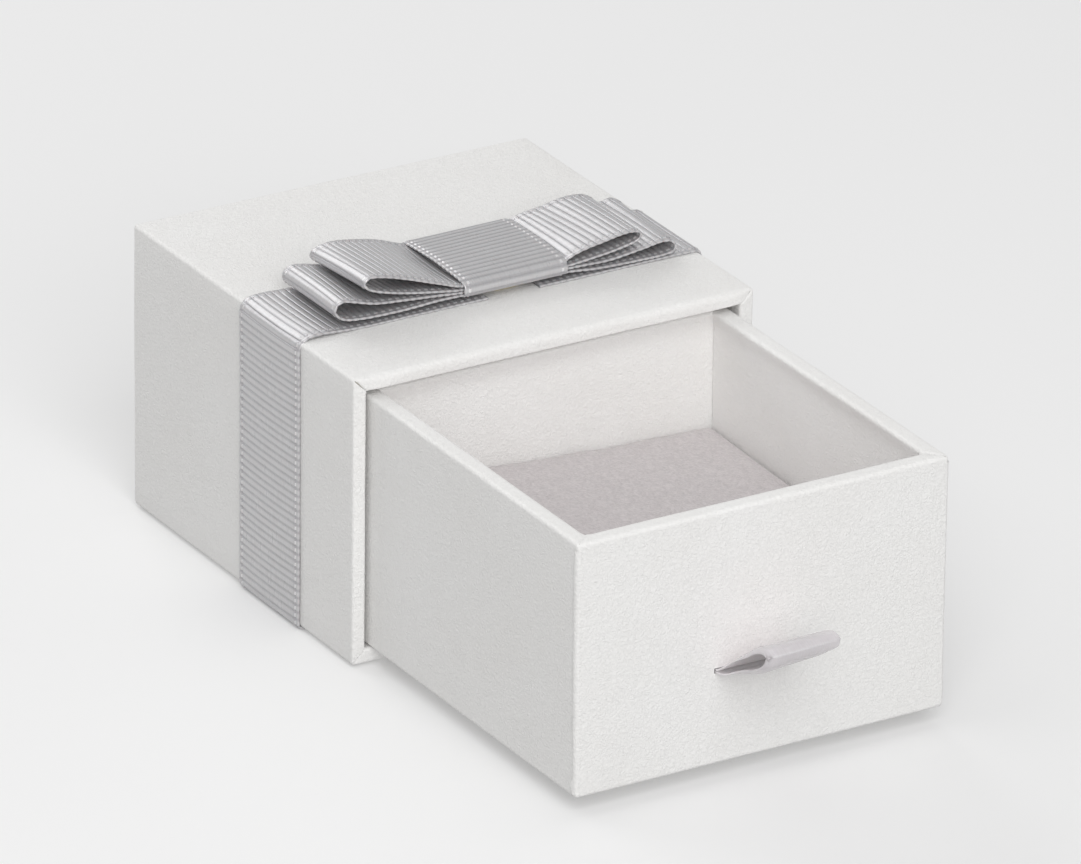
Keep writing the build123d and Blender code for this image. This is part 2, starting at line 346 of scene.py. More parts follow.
PAPER_WALL = 1.8             # board with paper on both sides
TURN_IN = 12.0               # covering paper turned over the sleeve's lip
EDGE_ROUND = 0.5
ARC_STEPS = 7
SUPPORT = 0.12               # an extra row this close to every rounded edge keeps the flats flat
GLUED_CORNER = 0.14          # radius where two papered boards meet inside
SWELL_REACH = 1.7            # how far down from a lip the turned paper stands proud
MESH_STEP = 1.8              # spacing of points on the flats
WANDER = 17                  # glued paper wanders over this distance, and faintly over FLUTTER
FLUTTER = 5
TOP_LIP_ROUND = 0.85         # the sleeve's top board has a blunter front edge than the others
ROLL_FORWARD = 0.22          # its paper stands forward of the board by this much
ROLL_FORWARD_REACH = 0.8     # fading out over this distance back from the edge
ROLL_UP = 0.09
ROLL_UP_REACH = 1.6
UNROLLED_ENDS = 0.6          # the roll starts this far in from the sleeve's sides
ROLL_RUN_IN = 3.0            # and is full this much further in


def stops(low, high, spacing, extra=()):
    """Places along a straight side, with a pair of close ones at its two ends."""
    count = max(2, int(round((high - low) / spacing)) + 1)
    places = set(np.linspace(low, high, count).round(4))
    places |= {round(low + SUPPORT, 4), round(high - SUPPORT, 4)}
    places |= {round(e, 4) for e in extra}
    return sorted(places)


def ring(low, high, radii, notches, u_stops, v_stops):
    """Points round a rectangle with rounded corners, anticlockwise, as many for any radius.

    The corners come in the order right low, right high, left high, left low. A notch pushes the
    middle of a corner outwards by that much.
    """
    angles = np.linspace(0, math.pi / 2, ARC_STEPS)
    notch_shape = np.clip(3 * np.sin(2 * angles) - 2, 0, 1)
    corners = [(1, 0, -math.pi / 2), (1, 1, 0.0), (0, 1, math.pi / 2), (0, 0, math.pi)]
    sides = [
        [(u, low[1]) for u in u_stops],
        [(high[0], v) for v in v_stops],
        [(u, high[1]) for u in reversed(u_stops)],
        [(low[0], v) for v in reversed(v_stops)],
    ]
    points = []
    for side, (right, top, turn), radius, notch in zip(sides, corners, radii, notches):
        u = high[0] - radius if right else low[0] + radius
        v = high[1] - radius if top else low[1] + radius
        points += side
        for a, share in zip(angles, notch_shape):
            reach = radius + notch * share
            points.append((u + reach * math.cos(turn + a), v + reach * math.sin(turn + a)))
    return np.array(points)


def corner_columns(u_stops, v_stops):
    """Where the middle of each of the four corners comes in a ring."""
    columns = []
    start = 0
    for side in (u_stops, v_stops, u_stops, v_stops):
        start += len(side)
        columns.append(start + ARC_STEPS // 2)
        start += ARC_STEPS
    return columns


def skin_profile(
    mouth, deep, inside, outside, outer_round, inner_round, swell, mouth_corners, notches,
):
    """The paper's way from inside, over the mouth's edge, along outside, and round the far edge.

    Each step is (place along the axis, inset from the outside, four corner radii, four notches).
    mouth is the open end and deep the closed one; inside and outside list the places on the
    straight stretches. The turned paper swells inwards near the mouth.
    """
    way = 1 if deep > mouth else -1
    arc = np.linspace(0, math.pi / 2, ARC_STEPS)
    mouth_corners = np.array(mouth_corners, float)
    notches = np.array(notches, float)

    def near(depth):
        return math.exp(-(depth / SWELL_REACH) ** 2)

    steps = []
    for place in inside:
        share = near(abs(place - mouth))
        radii = GLUED_CORNER + (mouth_corners - GLUED_CORNER) * share
        steps.append((place, PAPER_WALL + swell * share, radii, notches * (1 - share)))
    thick = PAPER_WALL + swell
    for a in arc:
        depth = inner_round * (1 - math.sin(a))
        inset = PAPER_WALL + swell * near(depth) - inner_round * (1 - math.cos(a))
        steps.append((mouth + way * depth, inset, mouth_corners, notches * 0))
    for share in np.linspace(0, 1, 6)[1:-1]:
        inset = (thick - inner_round) * (1 - share) + outer_round * share
        radii = mouth_corners + (EDGE_ROUND - mouth_corners) * share
        steps.append((mouth, inset, radii, notches * 0))
    for a in arc[:-1]:
        depth = outer_round * (1 - math.cos(a))
        inset = outer_round * (1 - math.sin(a))
        steps.append((mouth + way * depth, inset, [EDGE_ROUND] * 4, notches * 0))
    for place in outside:
        steps.append((place, 0.0, [EDGE_ROUND] * 4, notches * 0))
    for a in arc[1:]:
        depth = EDGE_ROUND * (1 - math.sin(a))
        inset = EDGE_ROUND * (1 - math.cos(a))
        steps.append((deep - way * depth, inset, [max(EDGE_ROUND - inset, 0.02)] * 4, notches * 0))
    return steps


def paper_skin(low, high, axis, profile, u_stops, v_stops, seams):
    """Rings of points along the profile, then ever smaller rings over the flat end.

    The last ring leaves a pinhole. low and high are the outside corners across the axis. seams
    sinks the mitre at each corner of the lip by that much. Returns an array of rings, each point
    as (x, y, z).
    """
    rings = []
    for place, inset, radii, notches in profile:
        flat = ring(
            (low[0] + inset, low[1] + inset), (high[0] - inset, high[1] - inset),
            radii, notches, u_stops, v_stops,
        )
        rings.append(np.column_stack([flat, np.full(len(flat), place)]))
    mouth = profile[0][0]
    way = 1 if profile[-1][0] > mouth else -1
    edge = min(step[0] * way for step in profile)
    for flat, (place, inset, _, _) in zip(rings, profile):
        on_lip = max(0.0, 1 - (place * way - edge) / EDGE_ROUND)
        for column, depth in zip(corner_columns(u_stops, v_stops), seams):
            flat[column, 2] += way * depth * on_lip
            flat[column - 1, 2] += way * 0.45 * depth * on_lip
    middle = np.array([(low[0] + high[0]) / 2, (low[1] + high[1]) / 2, profile[-1][0]])
    for share in (0.995, 0.9, 0.75, 0.6, 0.45, 0.3, 0.15, 0.004):
        rings.append(middle + (rings[len(profile) - 1] - middle) * share)
    rings = np.array(rings)
    if axis == "Y":
        rings = rings[:, :, [0, 2, 1]]
    return rings


def inner_places(mouth, way, deepest):
    """Depths below a lip, close together where the turned paper swells."""
    depths = [0.8, 1.1, 1.5, 2.0, 2.6, 3.3]
    depths += list(np.arange(4.6, deepest, MESH_STEP)) + [deepest]
    return [mouth + way * d for d in reversed(depths)]


def ripple(points, low, high, amount, seed):
    """Lets a skin's points wander a little, as paper glued down by hand does.

    low and high are the CAD box's corners, which no point passes by more than the rolled lip.
    """
    out = points.copy()
    for k, p in enumerate(points):
        push = [wobble(p, WANDER, seed + 3 * axis) for axis in range(3)]
        flutter = [wobble(p, FLUTTER, seed + 9 + 3 * axis) for axis in range(3)]
        out[k] = p + amount * (np.array(push) + 0.4 * np.array(flutter))
    return np.clip(out, low - ROLL_FORWARD - 0.05, high + 0.1)


def sleeve_rings(low, high):
    """The sleeve's paper as rings of points, from its turned-in edge to the closed back."""
    corner_room = 2.9
    profile = skin_profile(
        low[1], high[1], inner_places(low[1], 1, TURN_IN),
        stops(low[1] + EDGE_ROUND, high[1] - EDGE_ROUND, MESH_STEP),
        outer_round=0.32, inner_round=0.45, swell=0.12, mouth_corners=[0.35] * 4, notches=[0.15] * 4,
    )
    return paper_skin(
        (low[0], low[2]), (high[0], high[2]), "Y", profile,
        stops(low[0] + corner_room, high[0] - corner_room, MESH_STEP),
        stops(low[2] + corner_room, high[2] - corner_room, MESH_STEP),
        seams=(0.12, 0.15, 0.28, 0.16),
    )


def soft_top_lip(points, low, high):
    """Rolls the paper over the top board's front edge in a wider round, clear of the board."""
    out = points.copy()
    behind = points[:, 1] - low[1]
    depth = np.clip(TOP_LIP_ROUND - behind, 0, TOP_LIP_ROUND)
    drop = TOP_LIP_ROUND - np.sqrt(TOP_LIP_ROUND ** 2 - depth ** 2)
    middle = (low[0] + high[0]) / 2
    from_side = (high[0] - low[0]) / 2 - np.abs(points[:, 0] - middle)
    share = np.clip((from_side - UNROLLED_ENDS) / ROLL_RUN_IN, 0, 1)
    inset = high[2] - points[:, 2]
    wall = PAPER_WALL + 0.3           # with the turned paper's swell
    squeezed = drop * share + inset * (1 - drop * share / wall)
    in_top_wall = inset < wall
    fade_up = np.exp(-(behind / ROLL_UP_REACH) ** 2)
    fade_forward = np.exp(-(behind / ROLL_FORWARD_REACH) ** 2)
    out[:, 2] += in_top_wall * (inset - squeezed)
    out[:, 2] += in_top_wall * share * ROLL_UP * fade_up * (1 - inset / wall)
    out[:, 1] -= in_top_wall * share * ROLL_FORWARD * fade_forward
    return out


sleeve_low, sleeve_high = box_mm("sleeve_wrap_paper")
rings = sleeve_rings(sleeve_low, sleeve_high)
sleeve_points = soft_top_lip(rings.reshape(-1, 3), sleeve_low, sleeve_high)
sleeve_points = ripple(sleeve_points, sleeve_low, sleeve_high, amount=0.06, seed=1)
sleeve_wrap = add_mesh("sleeve_wrap", sleeve_points, grid_faces(*rings.shape[:2], wrap=True))
dress(sleeve_wrap, "grained_paper")
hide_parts("sleeve_wrap_paper")
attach(sleeve_wrap, "sleeve")


# ---- drawer skin, with the slit for the pull --------------------------------------------

drawer_low, drawer_high = box_mm("drawer_wrap_paper")
tails_low, tails_high = box_mm("pull_ribbon_tails")
SATIN = 0.25                 # the pull ribbon's thickness; its two tails lie on each other in the slit
SLIT_HALF = 0.35
SLIT_ROOM = 0.1              # between the ribbon's edges and the slit's ends
slit_z = tails_high[2] - SATIN
slit_left = tails_low[0] - SLIT_ROOM
slit_right = tails_high[0] + SLIT_ROOM
LAP_FROM = 0.8               # the lap starts this far in on the front
LAP_WIDTH = 0.85             # how much of the front's paper is turned onto each side
LAP_PROUD = 0.13
LAP_STEP = 0.3
BUNCH_HEIGHT = 1.5           # a small bunched fold, this far above the drawer's bottom
BUNCH_REACH = 0.7


def drawer_rings(low, high):
    """The drawer's paper as rings of points, from its inner floor over the rim to the bottom."""
    corner_room = 3.4
    slit_stops = (slit_z - SLIT_HALF, slit_z + SLIT_HALF)
    floor_depth = high[2] - low[2] - PAPER_WALL
    inside = inner_places(high[2], -1, floor_depth) + list(slit_stops)
    outside = stops(low[2] + EDGE_ROUND, high[2] - EDGE_ROUND, MESH_STEP, extra=slit_stops)
    profile = skin_profile(
        high[2], low[2], sorted(inside), outside[::-1],
        outer_round=0.5, inner_round=0.55, swell=0.6,
        mouth_corners=(1.1, 0.3, 0.3, 1.1), notches=(0.0, 0.15, 0.15, 0.0),
    )
    return paper_skin(
        (low[0], low[1]), (high[0], high[1]), "Z", profile,
        stops(low[0] + corner_room, high[0] - corner_room, MESH_STEP, extra=(slit_left, slit_right)),
        stops(low[1] + corner_room, high[1] - corner_room, MESH_STEP),
        seams=(0.22, 0.1, 0.1, 0.14),
    )


def in_slit(middle):
    """True for a place on the front wall, inside or outside, that the slit cuts away."""
    at_front = middle[1] < drawer_low[1] + PAPER_WALL + 0.01
    across = slit_left < middle[0] < slit_right
    return at_front and across and abs(middle[2] - slit_z) < SLIT_HALF


def with_slit(points, faces):
    """The faces without the slit's, and with its four walls through the front board."""
    kept = [f for f in faces if not in_slit(points[list(f)].mean(axis=0))]
    cut = [f for f in faces if in_slit(points[list(f)].mean(axis=0))]
    edge_count = {}
    for face in cut:
        for a, b in zip(face, face[1:] + face[:1]):
            key = (min(a, b), max(a, b))
            edge_count[key] = edge_count.get(key, 0) + 1
    rim_edges = [edge for edge, times in edge_count.items() if times == 1]

    def at_outside(k):
        return points[k][1] < drawer_low[1] + PAPER_WALL / 2

    def seen_from_front(k):
        return tuple(points[k][[0, 2]].round(3))

    outside = {seen_from_front(k): k for edge in rim_edges for k in edge if at_outside(k)}
    walls = [
        (a, b, outside[seen_from_front(b)], outside[seen_from_front(a)])
        for a, b in rim_edges if not at_outside(a)
    ]
    return kept + walls


def front_lap(side):
    """The front paper's turned edge on one side of the drawer (-1 left, 1 right).

    It starts on the front, goes round the corner and ends wavily on the side, with a small
    bunched fold near the bottom.
    """
    corner_x = (drawer_low[0] if side < 0 else drawer_high[0]) - side * EDGE_ROUND
    corner_y = drawer_low[1] + EDGE_ROUND
    rows = []
    for z in np.arange(drawer_low[2] + 0.5, drawer_high[2] - 0.6, LAP_STEP):
        fold = math.exp(-((z - drawer_low[2] - BUNCH_HEIGHT) / BUNCH_REACH) ** 2)
        wave = 0.3 * wobble((0, side, z), 4.0, 31) + 0.16 * wobble((0, side, z), 1.1, 37)
        row = [(corner_x - side * LAP_FROM, drawer_low[1] + 0.03, z)]
        for a in np.linspace(0, math.pi / 2, ARC_STEPS):
            out = EDGE_ROUND + LAP_PROUD * a / (math.pi / 2)
            row.append((corner_x + side * out * math.sin(a), corner_y - out * math.cos(a), z))
        edge = LAP_WIDTH - EDGE_ROUND + wave + 0.25 * fold
        for share, proud in ((0.5, 1.0 + 1.6 * fold), (0.9, 0.9 + 0.6 * fold), (1.0, -0.4)):
            x = corner_x + side * (EDGE_ROUND + LAP_PROUD * proud)
            row.append((x, corner_y + edge * share, z))
        rows.append(row)
    rows = np.array(rows)
    faces = grid_faces(*rows.shape[:2])
    return rows.reshape(-1, 3), faces if side > 0 else [f[::-1] for f in faces]


rings = drawer_rings(drawer_low, drawer_high)
drawer_points = rings.reshape(-1, 3)
drawer_faces = with_slit(drawer_points, grid_faces(*rings.shape[:2], wrap=True))
for side in (-1, 1):
    lap_points, lap_faces = front_lap(side)
    start = len(drawer_points)
    drawer_faces += [tuple(start + k for k in face) for face in lap_faces]
    drawer_points = np.vstack([drawer_points, lap_points])
drawer_points = ripple(drawer_points, drawer_low, drawer_high, amount=0.07, seed=5)
drawer_wrap = add_mesh("drawer_wrap", drawer_points, drawer_faces)
dress(drawer_wrap, "grained_paper")
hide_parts("drawer_wrap_paper")
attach(drawer_wrap, "drawer")


# ---- grosgrain ribbon -------------------------------------------------------------------

RIBBON_HALF = 7.5            # half the ribbon's width
RIB_PITCH = 1.0
SCALLOP = 0.004              # the edge goes in and out by this share of the width at each rib
# places along one rib, as shares of its pitch, with the ridge at 0.5
RIB_STEPS = (0.0, 0.03, 0.07, 0.13, 0.25, 0.5, 0.75, 0.87, 0.93, 0.97)
RIB_RISE = 0.13              # ridge above groove, on each face
# across half the width, from the middle: (place, rib share, half thickness at the groove)
ACROSS = (
    (0.0, 1.0, 0.07), (2.2, 1.0, 0.07), (4.4, 1.0, 0.07), (6.0, 1.0, 0.07), (6.45, 1.0, 0.07),
    (6.60, 0.6, 0.08), (6.74, 1.4, 0.09), (6.88, 0.5, 0.08), (7.04, 0.35, 0.11),
    (7.30, 0.4, 0.12), (7.44, 0.35, 0.11), (7.5, 0.2, 0.06),
)


def ribbon(name, near, far, bow=0.0, flip=False):
    """A strip of grosgrain between two edge lines, with real ribs on both of its faces.

    near and far are matching dense lines along the two edges; bow is how far the ribs' middles
    run ahead of their ends. The faces lie off the middle surface along normals that are evened
    out over one rib.
    """
    middle = (near + far) / 2
    travel = np.concatenate([[0], np.cumsum(np.linalg.norm(np.diff(middle, axis=0), axis=1))])
    length = travel[-1]
    ribs = int(round(length / RIB_PITCH))
    pitch = length / ribs
    phase = np.array([k + u for k in range(ribs) for u in RIB_STEPS] + [ribs])
    from_ridge = np.abs(2 * (phase % 1.0) - 1)
    ridge = 1 - 0.5 * from_ridge ** 2 - 0.5 * from_ridge ** 12
    columns = [(-w, a, t) for w, a, t in reversed(ACROSS)] + list(ACROSS[1:])
    base = np.zeros((len(phase), len(columns), 3))
    for j, (w, _, _) in enumerate(columns):
        ahead = bow * (1 - (w / RIBBON_HALF) ** 2)
        s = np.clip(phase * pitch + ahead, 0, length)
        scallop = 1 - SCALLOP * np.cos(2 * math.pi * phase)
        share = (w * scallop / RIBBON_HALF + 1) / 2
        a = np.column_stack([np.interp(s, travel, near[:, k]) for k in range(3)])
        b = np.column_stack([np.interp(s, travel, far[:, k]) for k in range(3)])
        base[:, j] = a + (b - a) * share[:, None]
    normal = surface_normals(base)
    kernel = np.ones(len(RIB_STEPS)) / len(RIB_STEPS)
    for j in range(normal.shape[1]):
        for k in range(3):
            padded = np.pad(normal[:, j, k], len(kernel) // 2, mode="edge")
            normal[:, j, k] = np.convolve(padded, kernel, mode="valid")[:len(phase)]
    normal = unit(-normal if flip else normal)
    rise = np.array([t + RIB_RISE * a * ridge for _, a, t in columns]).T
    widths = np.array([w for w, _, _ in columns])
    return thick_strip(name, base, normal * rise[:, :, None], phase, widths)


def at_y(run, y):
    """Lifts (x, z) points into space at a given y."""
    run = np.asarray(run, float)
    return np.column_stack([run[:, 0], np.full(len(run), y), run[:, 1]])


band_low, band_high = box_mm("ribbon_band")
band_front, band_back = band_low[1], band_high[1]
knot_low, knot_high = box_mm("bow_knot_band")
sleeve_top = sleeve_high[2]
RIBBON_THICK = 0.4
BAND_GAP = 7.4               # between the band's two ends, under the knot
PRESSED = 0.01               # the box presses the ribs under it flat, this far above the floor
knot_x = (knot_low[0] + knot_high[0]) / 2


def band_line(bulge):
    """The ribbon band's middle line round the sleeve, from one end under the knot to the other.

    It bulges up by about that much just before it turns down over the left edge.
    """
    skin = RIBBON_THICK / 2
    left, right = sleeve_low[0] - skin, sleeve_high[0] + skin
    bottom, top = sleeve_low[2] - skin, sleeve_high[2] + skin
    middle = (top + bottom) / 2
    r = EDGE_ROUND + skin

    def rounded(x, z, start):
        angles = start + np.linspace(0, math.pi / 2, 5)
        return [(x + r * math.cos(a), z + r * math.sin(a)) for a in angles]

    points = [(knot_x - BAND_GAP / 2, top), (-12.0, top)]
    points += [(-20.0, top), (-23.5, top + 0.4 * bulge), (-26.2, top + 0.8 * bulge)]
    points += [(left + 1.6, top + 0.55 * bulge), (left + 0.75, top + 0.1 * bulge - 0.12)]
    points += [(left + 0.22, top - 0.6), (left - 0.05, top - 1.4), (left - 0.04, top - 3.5)]
    points += [(left, top - 8), (left, middle), (left, bottom + 3)]
    points += rounded(left + r, bottom + r, math.pi)
    points += [(-15, bottom), (0, bottom), (15, bottom)]
    points += rounded(right - r, bottom + r, 1.5 * math.pi)
    points += [(right, bottom + 10), (right, middle), (right, top - 10)]
    points += rounded(right - r, top - r, 0.0)
    points += [(15, top), (knot_x + BAND_GAP / 2, top)]
    return smooth_curve(points, 12)


band = ribbon(
    "band_ribbon", at_y(band_line(bulge=0.45), band_front), at_y(band_line(bulge=0.25), band_back),
    bow=0.2,
)
for vertex in band.data.vertices:
    vertex.co.z = max(vertex.co.z, PRESSED * MM)
dress(band, "grosgrain")
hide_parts("ribbon_band")
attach(band, "sleeve")


# ---- the bow ----------------------------------------------------------------------------

# Middle lines of the two strips at the bow's front and back edges, as (x, height above the
# sleeve): from under the knot out along the bottom, round the left fold, back over the knot,
# round the right fold and back. Hand-tied loops gape more at the front.
LOWER_FRONT = (
    (1.8, 1.42), (-5.7, 1.42), (-9.1, 1.45), (-14.4, 1.25), (-20.3, 1.4), (-22.6, 1.75), (-23.6, 2.3),
    (-24.1, 3.1), (-23.8, 3.9), (-22.9, 4.25), (-21.6, 3.95), (-18.4, 3.05), (-14.4, 2.6),
    (-9.1, 2.12), (-5.7, 1.80), (1.8, 1.80), (9.3, 1.80), (12.0, 1.75), (15.5, 1.65), (20.6, 2.2),
    (23.6, 2.6), (24.9, 2.35), (25.5, 1.55), (25.2, 0.95), (24.0, 0.7), (20.6, 0.68), (13.8, 0.9),
    (9.5, 1.35), (1.8, 1.42),
)
LOWER_BACK = (
    (1.8, 1.42), (-5.7, 1.42), (-9.1, 1.35), (-14.4, 1.0), (-19.5, 0.85), (-21.8, 1.0), (-22.9, 1.6),
    (-23.1, 2.3), (-22.6, 3.05), (-21.7, 3.3), (-20.3, 3.1), (-18.0, 2.6), (-14.4, 2.3),
    (-9.1, 2.05), (-5.7, 1.80), (1.8, 1.80), (9.3, 1.80), (12.0, 1.85), (15.5, 1.8), (20.0, 2.05),
    (23.5, 2.45), (24.7, 2.65), (25.8, 2.1), (26.0, 1.4), (25.2, 0.85), (20.6, 0.7), (13.8, 0.95),
    (9.5, 1.35), (1.8, 1.42),
)
UPPER_FRONT = (
    (1.8, 2.18), (-5.7, 2.18), (-9.1, 2.65), (-13.4, 3.4), (-16.4, 4.1), (-18.2, 4.65), (-19.2, 5.1),
    (-19.8, 5.65), (-19.85, 6.2), (-19.3, 6.6), (-18.6, 6.65), (-16.4, 6.2), (-13.5, 5.3),
    (-9.1, 3.75), (-5.4, 2.60), (1.8, 2.56), (8.6, 2.7), (10.2, 3.4), (12.1, 3.95), (14.8, 4.4),
    (17.2, 4.8), (19.0, 4.9), (20.1, 4.6), (20.35, 4.1), (19.9, 3.6), (17.2, 2.95), (13.0, 2.45),
    (9.3, 2.18), (1.8, 2.18),
)
UPPER_BACK = (
    (1.8, 2.18), (-5.7, 2.18), (-9.1, 2.6), (-13.4, 2.75), (-16.4, 3.0), (-18.0, 3.3), (-18.8, 3.65),
    (-19.15, 4.1), (-18.95, 4.6), (-18.5, 4.9), (-17.9, 5.1), (-16.3, 5.3), (-13.6, 5.0),
    (-9.6, 4.15), (-5.4, 2.75), (1.8, 2.56), (8.8, 2.65), (10.6, 3.05), (12.0, 3.35), (14.5, 3.65),
    (17.2, 4.15), (19.3, 4.2), (21.0, 3.85), (21.6, 3.35), (20.9, 2.85), (17.2, 2.6), (13.0, 2.42),
    (9.3, 2.18), (1.8, 2.18),
)


def lifted(profile):
    """A bow profile as (x, z) in the part's frame."""
    return smooth_curve([(x, sleeve_top + h) for x, h in profile], 16)


SAG = 0.14                   # of a strand's height above the sleeve
SAG_REACH = 2.6              # to each side of the knot's left edge


def sagged(strip_points):
    """Strands pinched by the knot's front and back edges sag between them, beside the knot."""
    out = strip_points.copy()
    height = out[:, 2] - sleeve_top
    beside = np.exp(-((out[:, 0] - knot_low[0]) / SAG_REACH) ** 2)
    across = np.clip(1 - ((out[:, 1] - (band_front + band_back) / 2) / RIBBON_HALF) ** 2, 0, 1)
    out[:, 2] -= SAG * height * beside * across
    return out


def make_strip(name, front, back, node):
    """One strip of the bow, from its profiles at the front and back edges."""
    near, far = at_y(lifted(front), band_front), at_y(lifted(back), band_back)
    strip = ribbon(name, near, far, bow=0.15)
    points = np.array([v.co for v in strip.data.vertices]) / MM
    for vertex, point in zip(strip.data.vertices, sagged(points)):
        vertex.co = Vector(point) * MM
    dress(strip, "grosgrain")
    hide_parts(node)
    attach(strip, "sleeve")


def knot_line(rise):
    """The knot band's middle line in (y, height above the sleeve), once round the bow.

    rise lifts its top by that much.
    """
    return smooth_curve([
        (0.0, 1.1), (-4.0, 1.1), (-6.9, 1.15), (-7.65, 1.5), (-7.85, 2.1), (-7.75, 2.65),
        (-7.3, 2.98 + 0.3 * rise), (-6.2, 3.15 + 0.7 * rise), (-3.0, 3.32 + rise), (0.0, 3.4 + rise),
        (3.0, 3.32 + rise), (6.2, 3.15 + 0.7 * rise), (7.3, 2.98 + 0.3 * rise), (7.75, 2.65),
        (7.85, 2.1), (7.65, 1.5), (6.9, 1.15), (4.0, 1.1), (0.0, 1.1),
    ], 16)


def at_x(run, x):
    """Lifts (y, height above the sleeve) points into space at a given x."""
    return np.column_stack([np.full(len(run), x), run[:, 0], sleeve_top + run[:, 1]])


knot = ribbon(
    "bow_knot", at_x(knot_line(rise=0.0), knot_low[0]), at_x(knot_line(rise=0.25), knot_high[0]),
    flip=True,
)
dress(knot, "grosgrain")
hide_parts("bow_knot_band")
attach(knot, "sleeve")
make_strip("bow_lower_strip", LOWER_FRONT, LOWER_BACK, "bow_lower_loops")
make_strip("bow_upper_strip", UPPER_FRONT, UPPER_BACK, "bow_upper_loops")


# ---- satin pull -------------------------------------------------------------------------

drawer_front = drawer_low[1]
tail_y = tails_high[1] - SATIN


def pull_line(side):
    """The pull's middle line in (distance out from the drawer, height above the slit).

    side is 0 at the pull's left edge and 1 at its right.
    """
    def between(a, b):
        return (a[0] + (b[0] - a[0]) * side, a[1] + (b[1] - a[1]) * side)

    inside = -(tail_y - drawer_front)
    upper = [
        (inside - 0.12, -7.8), (inside - 0.12, -4.0), (inside - 0.1, -1.0), (inside + 0.1, -0.1),
        (inside + 0.5, 0.14), (0.0, 0.14), (1.4, 0.9), (3.6, 2.7), between((6.0, 4.6), (6.4, 4.9)),
        between((8.9, 6.6), (9.7, 7.1)), between((10.9, 7.25), (11.2, 7.4)),
    ]
    crease = between((12.4, 6.8), (12.25, 7.0))
    lower = [
        between((11.7, 5.2), (11.8, 5.9)), between((10.6, 4.15), (10.4, 4.9)),
        between((8.8, 3.1), (8.4, 3.5)), between((4.3, 1.35), (4.3, 1.5)), (1.4, 0.1),
        (0.0, -0.14), (inside + 0.8, -0.14), (inside + 0.36, -0.3), (inside + 0.15, -1.0),
        (inside + 0.14, -4.0), (inside + 0.14, -7.8),
    ]
    return np.vstack([smooth_curve(upper + [crease], 12)[:-1], smooth_curve([crease] + lower, 12)])


PULL_SIDES = (0, 0.01, 0.025, 0.045, 0.07, 0.1, 0.2, 0.35, 0.5, 0.65, 0.8, 0.9, 0.94, 0.97, 0.99, 1)
CURL = 0.6                   # how far the pull's edges roll in
CURL_REACH = 0.1             # over this share of the width
RIGHT_CURL = 0.2             # the right edge rolls less, by this factor
CURL_START = 3.0             # the roll starts this far out from the drawer
CURL_RUN_IN = 4.0            # and is full this much further out
THIN_EDGE = 0.05             # half the thickness at the two edges


def satin_ribbon():
    """The whole pull, tails and loop, and its length along the middle."""
    rows = []
    for side in PULL_SIDES:
        line = pull_line(side)
        x = np.full(len(line), tails_low[0] + side * (tails_high[0] - tails_low[0]))
        rows.append(np.column_stack([x, drawer_front - line[:, 0], slit_z + line[:, 1]]))
    base = np.array(rows).transpose(1, 0, 2)
    middle_column = len(PULL_SIDES) // 2
    steps = np.linalg.norm(np.diff(base[:, middle_column], axis=0), axis=1)
    travel = np.concatenate([[0], np.cumsum(steps)])
    normal = surface_normals(base)
    for j, side in enumerate(PULL_SIDES):
        from_edge = min(side, 1 - side) / CURL_REACH
        roll = CURL * max(0.0, 1 - from_edge) ** 2 * (1.0 if side < 0.5 else RIGHT_CURL)
        reach = np.clip((drawer_front - base[:, j, 1] - CURL_START) / CURL_RUN_IN, 0, 1)
        base[:, j] -= normal[:, j] * (roll * reach)[:, None]
    half = SATIN / 2 * np.ones(len(PULL_SIDES))
    half[0] = half[-1] = THIN_EDGE
    across = (np.array(PULL_SIDES) - 0.5) * (tails_high[0] - tails_low[0])
    pull = thick_strip("pull_ribbon", base, normal * half[None, :, None], travel, across)
    return pull, travel[-1]


pull, pull_length = satin_ribbon()
dress(pull, "satin")
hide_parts("pull_ribbon_loop", "pull_ribbon_tails")
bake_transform(pull)


# ---- velvet pad -------------------------------------------------------------------------

pad_low, pad_high = box_mm("pad_velvet_cover")


def rounded_block(low, high, radius, spacing):
    """Points and quads of a block with rounded edges, on an even grid all over."""
    counts = [max(2, int(round((b - a) / spacing))) for a, b in zip(low, high)]
    index, points, faces = {}, [], []

    def number(cell):
        if cell not in index:
            p = low + (high - low) * np.array(cell) / counts
            core = np.clip(p, low + radius, high - radius)
            away = p - core
            reach = np.linalg.norm(away)
            if reach > 1e-9 and np.count_nonzero(np.abs(away) > 1e-9) > 1:
                p = core + away / reach * radius
            index[cell] = len(points)
            points.append(p)
        return index[cell]

    for axis in range(3):
        u, v = (axis + 1) % 3, (axis + 2) % 3
        for end in (0, counts[axis]):
            for i in range(counts[u]):
                for j in range(counts[v]):
                    cells = []
                    for di, dj in ((0, 0), (1, 0), (1, 1), (0, 1)):
                        cell = [0, 0, 0]
                        cell[axis], cell[u], cell[v] = end, i + di, j + dj
                        cells.append(number(tuple(cell)))
                    faces.append(cells if end else cells[::-1])
    return np.array(points), faces


# how far each corner of the pad's top is raised, as it lies crooked
BACK_LEFT, BACK_RIGHT, FRONT_LEFT, FRONT_RIGHT = 3.4, 0.2, 2.0, -0.35
SIDEWAYS_LIMIT = 0.08        # the puffed velvet stays this near the block, to clear the walls
SINK_LIMIT, RISE_LIMIT = 0.3, 0.5


def crooked(points, low, high):
    """The pad as it lies: its back left corner stands highest, its front right corner lowest."""
    out = points.copy()
    left = (high[0] - points[:, 0]) / (high[0] - low[0])
    behind = (points[:, 1] - low[1]) / (high[1] - low[1])
    at_back = BACK_LEFT * left + BACK_RIGHT * (1 - left)
    at_front = FRONT_LEFT * left + FRONT_RIGHT * (1 - left)
    raised = behind * at_back + (1 - behind) * at_front
    out[:, 2] += raised * (points[:, 2] - low[2]) / (high[2] - low[2])
    return out


